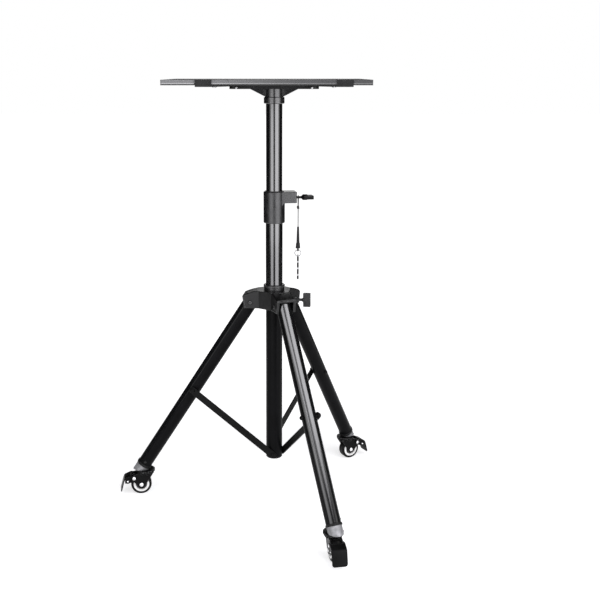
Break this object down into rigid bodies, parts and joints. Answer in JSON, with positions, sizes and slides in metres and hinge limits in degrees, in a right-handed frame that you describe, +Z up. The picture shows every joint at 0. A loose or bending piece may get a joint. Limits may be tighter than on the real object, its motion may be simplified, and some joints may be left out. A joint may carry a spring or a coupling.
{
  "type": "portable projector stand",
  "caption": "Folding tripod stand on braked casters, with a telescopic mast, a clamp screw and a flat tray on top.",
  "frame": {"origin": "on the mast's axis at floor level, where the wheels stand", "axes": "+Z up along the mast, +X to the right of the picture, +Y to the back"},
  "size_m": [0.5896, 0.6069, 0.908],
  "materials": {
    "tray_board": "dark laminate",
    "bracket_steel": "satin",
    "cast_black": "cast, painted",
    "tube_black": "gloss black",
    "moulded_grey": "satin",
    "moulded_black": "satin",
    "cast_aluminium": "as cast",
    "bright_steel": "bright",
    "cord_black": "braided",
    "tyre_black": "matt",
    "wheel_pale": "satin"
  },
  "bodies": {
    "lower_mast": {"lower_tube": "tube_black", "tube_plug": "moulded_black", "mast_clamp": "moulded_grey", "brace_studs": "bracket_steel", "lanyard_cord": "cord_black", "lanyard_crimp": "moulded_black", "lanyard_ring": "bright_steel", "safety_pin": "bright_steel"},
    "mast_guide": {"mast_guide": "moulded_black"},
    "upper_mast": {"upper_mast": "tube_black", "mast_head": "cast_black", "head_bolts": "bright_steel", "tray_bracket": "bracket_steel", "tray_panel": "tray_board"},
    "clamp_knob": {"clamp_knob": "moulded_black"},
    "hub": {"hub": "moulded_grey", "hub_ring": "moulded_black", "hub_pins": "bright_steel"},
    "hub_knob": {"hub_knob": "moulded_black"},
    "leg_left": {"leg_tube_left": "tube_black", "leg_ring_left": "moulded_black", "foot_left": "cast_aluminium", "leg_bolt_left": "bracket_steel", "caster_housing_left": "bracket_steel"},
    "brace_left": {"brace_left": "bracket_steel"},
    "fork_left": {"caster_fork_left": "bracket_steel", "caster_pins_left": "bright_steel"},
    "wheel_left": {"tyre_left": "tyre_black", "wheel_core_left": "wheel_pale"},
    "pedal_left": {"brake_pedal_left": "moulded_black"},
    "leg_front": {"leg_tube_front": "tube_black", "leg_ring_front": "moulded_black", "foot_front": "cast_aluminium", "leg_bolt_front": "bracket_steel", "caster_housing_front": "bracket_steel"},
    "brace_front": {"brace_front": "bracket_steel"},
    "fork_front": {"caster_fork_front": "bracket_steel", "caster_pins_front": "bright_steel"},
    "wheel_front": {"tyre_front": "tyre_black", "wheel_core_front": "wheel_pale"},
    "pedal_front": {"brake_pedal_front": "moulded_black"},
    "leg_rear": {"leg_tube_rear": "tube_black", "leg_ring_rear": "moulded_black", "foot_rear": "cast_aluminium", "leg_bolt_rear": "bracket_steel", "caster_housing_rear": "bracket_steel"},
    "brace_rear": {"brace_rear": "bracket_steel"},
    "fork_rear": {"caster_fork_rear": "bracket_steel", "caster_pins_rear": "bright_steel"},
    "wheel_rear": {"tyre_rear": "tyre_black", "wheel_core_rear": "wheel_pale"},
    "pedal_rear": {"brake_pedal_rear": "moulded_black"}
  },
  "joints": [
    {"name": "mast_turn", "type": "hinge", "parent": "lower_mast", "child": "mast_guide", "pos_m": [0, 0, 0.6838], "axis": [0, 0, 1], "continuous": true},
    {"name": "mast_slide", "type": "slide", "parent": "mast_guide", "child": "upper_mast", "axis": [0, 0, 1], "range_m": [-0.165, 0.2]},
    {"name": "clamp_screw", "type": "hinge", "parent": "lower_mast", "child": "clamp_knob", "pos_m": [0, 0, 0.6709], "axis": [0.9903, 0.1392, 0], "range_deg": [-360, 0]},
    {"name": "hub_slide", "type": "slide", "parent": "lower_mast", "child": "hub", "axis": [0, 0, -1], "range_m": [-0.11297, 0]},
    {"name": "hub_screw", "type": "hinge", "parent": "hub", "child": "hub_knob", "pos_m": [0, 0, 0.4565], "axis": [0.9931, -0.117, 0], "range_deg": [-360, 0]},
    {"name": "leg_fold_left", "type": "hinge", "parent": "hub", "child": "leg_left", "pos_m": [-0.04817, 0.00568, 0.452], "axis": [-0.117, -0.9931, 0], "range_deg": [0, 29.61]},
    {"name": "brace_fold_left", "type": "hinge", "parent": "lower_mast", "child": "brace_left", "pos_m": [0, 0, 0.1104], "axis": [-0.117, -0.9931, 0], "range_deg": [-35.54, 0]},
    {"name": "caster_swivel_left", "type": "hinge", "parent": "leg_left", "child": "fork_left", "pos_m": [-0.289, 0.03405, 0.0573], "axis": [0, 0, 1], "continuous": true},
    {"name": "wheel_spin_left", "type": "hinge", "parent": "fork_left", "child": "wheel_left", "pos_m": [-0.29986, 0.03228, 0.023], "axis": [0.1613, -0.9869, 0], "continuous": true},
    {"name": "pedal_tilt_left", "type": "hinge", "parent": "fork_left", "child": "pedal_left", "pos_m": [-0.31565, 0.0297, 0.04], "axis": [-0.1613, 0.9869, 0], "range_deg": [0, 20]},
    {"name": "leg_fold_front", "type": "hinge", "parent": "hub", "child": "leg_front", "pos_m": [0.01917, -0.04455, 0.452], "axis": [0.9186, 0.3952, 0], "range_deg": [0, 29.61]},
    {"name": "brace_fold_front", "type": "hinge", "parent": "lower_mast", "child": "brace_front", "pos_m": [0, 0, 0.1104], "axis": [0.9186, 0.3952, 0], "range_deg": [-35.54, 0]},
    {"name": "caster_swivel_front", "type": "hinge", "parent": "leg_front", "child": "fork_front", "pos_m": [0.11501, -0.26731, 0.0573], "axis": [0, 0, 1], "continuous": true},
    {"name": "wheel_spin_front", "type": "hinge", "parent": "fork_front", "child": "wheel_front", "pos_m": [0.11707, -0.27811, 0.023], "axis": [0.9824, 0.187, 0], "continuous": true},
    {"name": "pedal_tilt_front", "type": "hinge", "parent": "fork_front", "child": "pedal_front", "pos_m": [0.12006, -0.29383, 0.04], "axis": [-0.9824, -0.187, 0], "range_deg": [0, 20]},
    {"name": "leg_fold_rear", "type": "hinge", "parent": "hub", "child": "leg_rear", "pos_m": [0.029, 0.03888, 0.452], "axis": [-0.8016, 0.5979, 0], "range_deg": [0, 29.61]},
    {"name": "brace_fold_rear", "type": "hinge", "parent": "lower_mast", "child": "brace_rear", "pos_m": [0, 0, 0.1104], "axis": [-0.8016, 0.5979, 0], "range_deg": [-35.54, 0]},
    {"name": "caster_swivel_rear", "type": "hinge", "parent": "leg_rear", "child": "fork_rear", "pos_m": [0.17399, 0.23326, 0.0573], "axis": [0, 0, 1], "continuous": true},
    {"name": "wheel_spin_rear", "type": "hinge", "parent": "fork_rear", "child": "wheel_rear", "pos_m": [0.18379, 0.23825, 0.023], "axis": [-0.4537, 0.8912, 0], "continuous": true},
    {"name": "pedal_tilt_rear", "type": "hinge", "parent": "fork_rear", "child": "pedal_rear", "pos_m": [0.19805, 0.24551, 0.04], "axis": [0.4537, -0.8912, 0], "range_deg": [0, 20]}
  ],
  "couplings": [
    {"joint": "leg_fold_left", "follows": "hub_slide", "rad_per_m": -4.5731},
    {"joint": "brace_fold_left", "follows": "hub_slide", "rad_per_m": 5.489},
    {"joint": "leg_fold_front", "follows": "hub_slide", "rad_per_m": -4.5731},
    {"joint": "brace_fold_front", "follows": "hub_slide", "rad_per_m": 5.489},
    {"joint": "leg_fold_rear", "follows": "hub_slide", "rad_per_m": -4.5731},
    {"joint": "brace_fold_rear", "follows": "hub_slide", "rad_per_m": 5.489}
  ]
}
